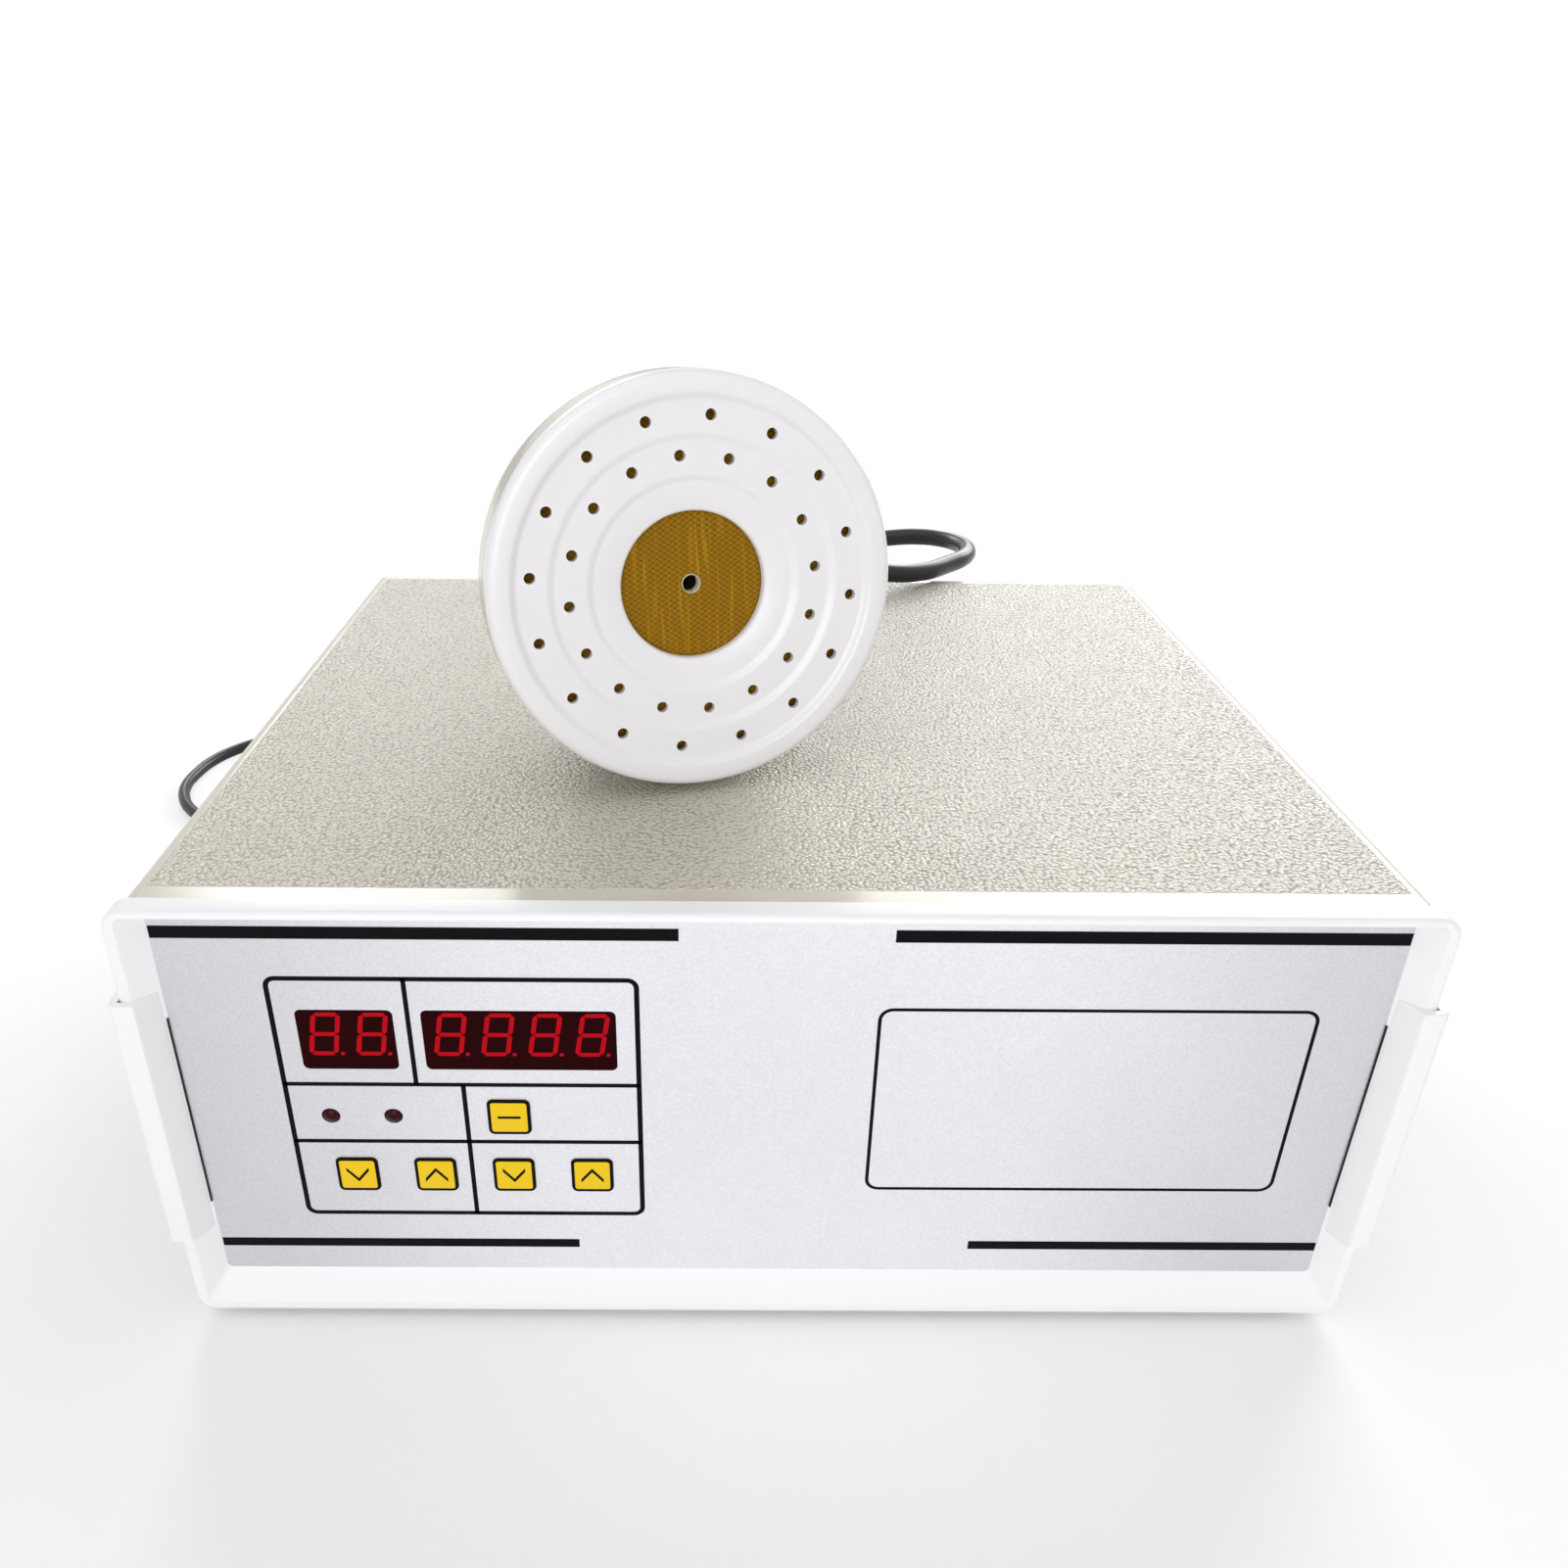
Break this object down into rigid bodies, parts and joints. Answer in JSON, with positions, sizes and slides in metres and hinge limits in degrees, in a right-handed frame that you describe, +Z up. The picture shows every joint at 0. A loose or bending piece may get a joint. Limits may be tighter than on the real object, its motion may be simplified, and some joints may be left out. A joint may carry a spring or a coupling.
{
  "type": "induction cap sealer",
  "caption": "Bench power box with a recessed control panel and a hand-held round sealing head on a lead, for sealing foil liners in bottle caps.",
  "frame": {"origin": "under the middle of the machine, at the height that its feet stand on", "axes": "+Z up, the control panel faces -Y, +X to the right seen from the front"},
  "size_m": [0.4852, 0.4694, 0.2642],
  "materials": {
    "case_ivory": "moulded ivory ABS with a leather grain on the top",
    "bezel_white": "moulded white ABS, smooth",
    "panel_silver": "silver metallic film with black rules",
    "window_red": "dark red filter",
    "display_black": "moulded display body",
    "lamp_red": "dark red lens",
    "key_yellow": "yellow keys with black rules",
    "board_green": "green lacquered circuit board",
    "black_plastic": "black moulded plastic",
    "rear_grey": "powder-coated steel sheet",
    "rocker_red": "red moulded rocker",
    "brass": "turned brass",
    "wire_chrome": "bright plated wire",
    "screw_steel": "zinc plated steel",
    "sink_aluminium": "extruded aluminium",
    "core_iron": "laminated iron, varnished",
    "winding_copper": "enamelled copper wire under tape",
    "capacitor_sleeve": "dark blue sleeve",
    "film_grey": "grey film capacitor",
    "foot_rubber": "black rubber",
    "head_white": "white moulded face",
    "head_ivory": "ivory moulded shells",
    "phenolic_brown": "brown woven phenolic board",
    "ferrite_grey": "sintered ferrite",
    "cord_black": "black flexible sheath"
  },
  "bodies": {
    "box": {"lower_shell": "case_ivory", "upper_shell": "case_ivory", "front_bezel": "bezel_white", "left_grip": "bezel_white", "right_grip": "bezel_white", "front_panel": "panel_silver", "time_window": "window_red", "count_window": "window_red", "time_display": "display_black", "count_display": "display_black", "power_lamp": "lamp_red", "work_lamp": "lamp_red", "control_board": "board_green", "key_switches": "black_plastic", "board_standoffs": "brass", "rear_panel": "rear_grey", "switch_housing": "black_plastic", "fuse_holder": "black_plastic", "fan_frame": "black_plastic", "fan_guard": "wire_chrome", "fan_screws": "screw_steel", "power_board": "board_green", "heat_sink": "sink_aluminium", "power_transistors": "black_plastic", "transformer_core": "core_iron", "transformer_winding": "winding_copper", "filter_capacitors": "capacitor_sleeve", "resonance_capacitor": "film_grey", "feet": "foot_rubber", "case_screws": "screw_steel", "bezel_screws": "screw_steel", "head_lead_gland": "black_plastic", "power_cord_gland": "black_plastic", "face_plate": "head_white", "coil_board": "phenolic_brown", "induction_coil": "winding_copper", "ferrite_bars": "ferrite_grey", "head_cup": "head_ivory", "handle_left": "head_ivory", "handle_right": "head_ivory", "handle_screws": "screw_steel", "start_switch": "black_plastic", "lead_sleeve": "cord_black", "head_lead": "cord_black", "head_lead_coil": "cord_black", "power_cord": "cord_black", "power_cord_coil": "cord_black", "power_cord_tail": "cord_black", "power_plug": "black_plastic"},
    "zero_key": {"zero_key": "key_yellow"},
    "time_down_key": {"time_down_key": "key_yellow"},
    "time_up_key": {"time_up_key": "key_yellow"},
    "power_down_key": {"power_down_key": "key_yellow"},
    "power_up_key": {"power_up_key": "key_yellow"},
    "start_button": {"start_button": "black_plastic"},
    "power_rocker": {"power_rocker": "rocker_red"},
    "fan_rotor": {"fan_rotor": "black_plastic"},
    "fuse_cap": {"fuse_cap": "black_plastic"}
  },
  "joints": [
    {"name": "zero_key_press", "type": "slide", "parent": "box", "child": "zero_key", "axis": [0, 1, 0], "range_m": [0, 0.0005], "stiffness_N_per_m": 600, "springref_m": -0.0005},
    {"name": "time_down_key_press", "type": "slide", "parent": "box", "child": "time_down_key", "axis": [0, 1, 0], "range_m": [0, 0.0005], "stiffness_N_per_m": 600, "springref_m": -0.0005},
    {"name": "time_up_key_press", "type": "slide", "parent": "box", "child": "time_up_key", "axis": [0, 1, 0], "range_m": [0, 0.0005], "stiffness_N_per_m": 600, "springref_m": -0.0005},
    {"name": "power_down_key_press", "type": "slide", "parent": "box", "child": "power_down_key", "axis": [0, 1, 0], "range_m": [0, 0.0005], "stiffness_N_per_m": 600, "springref_m": -0.0005},
    {"name": "power_up_key_press", "type": "slide", "parent": "box", "child": "power_up_key", "axis": [0, 1, 0], "range_m": [0, 0.0005], "stiffness_N_per_m": 600, "springref_m": -0.0005},
    {"name": "start_press", "type": "slide", "parent": "box", "child": "start_button", "axis": [0.0372, -0.1287, -0.991], "range_m": [0, 0.002], "stiffness_N_per_m": 500, "springref_m": -0.001},
    {"name": "power_rocker_tilt", "type": "hinge", "parent": "box", "child": "power_rocker", "pos_m": [-0.125, 0.12875, 0.11], "axis": [1, 0, 0], "range_deg": [0, 22]},
    {"name": "fan_spin", "type": "hinge", "parent": "box", "child": "fan_rotor", "pos_m": [-0.035, 0.11575, 0.07785], "axis": [0, 1, 0], "continuous": true},
    {"name": "fuse_cap_turn", "type": "hinge", "parent": "box", "child": "fuse_cap", "pos_m": [-0.125, 0.13575, 0.076], "axis": [0, 1, 0], "range_deg": [0, 60]}
  ]
}
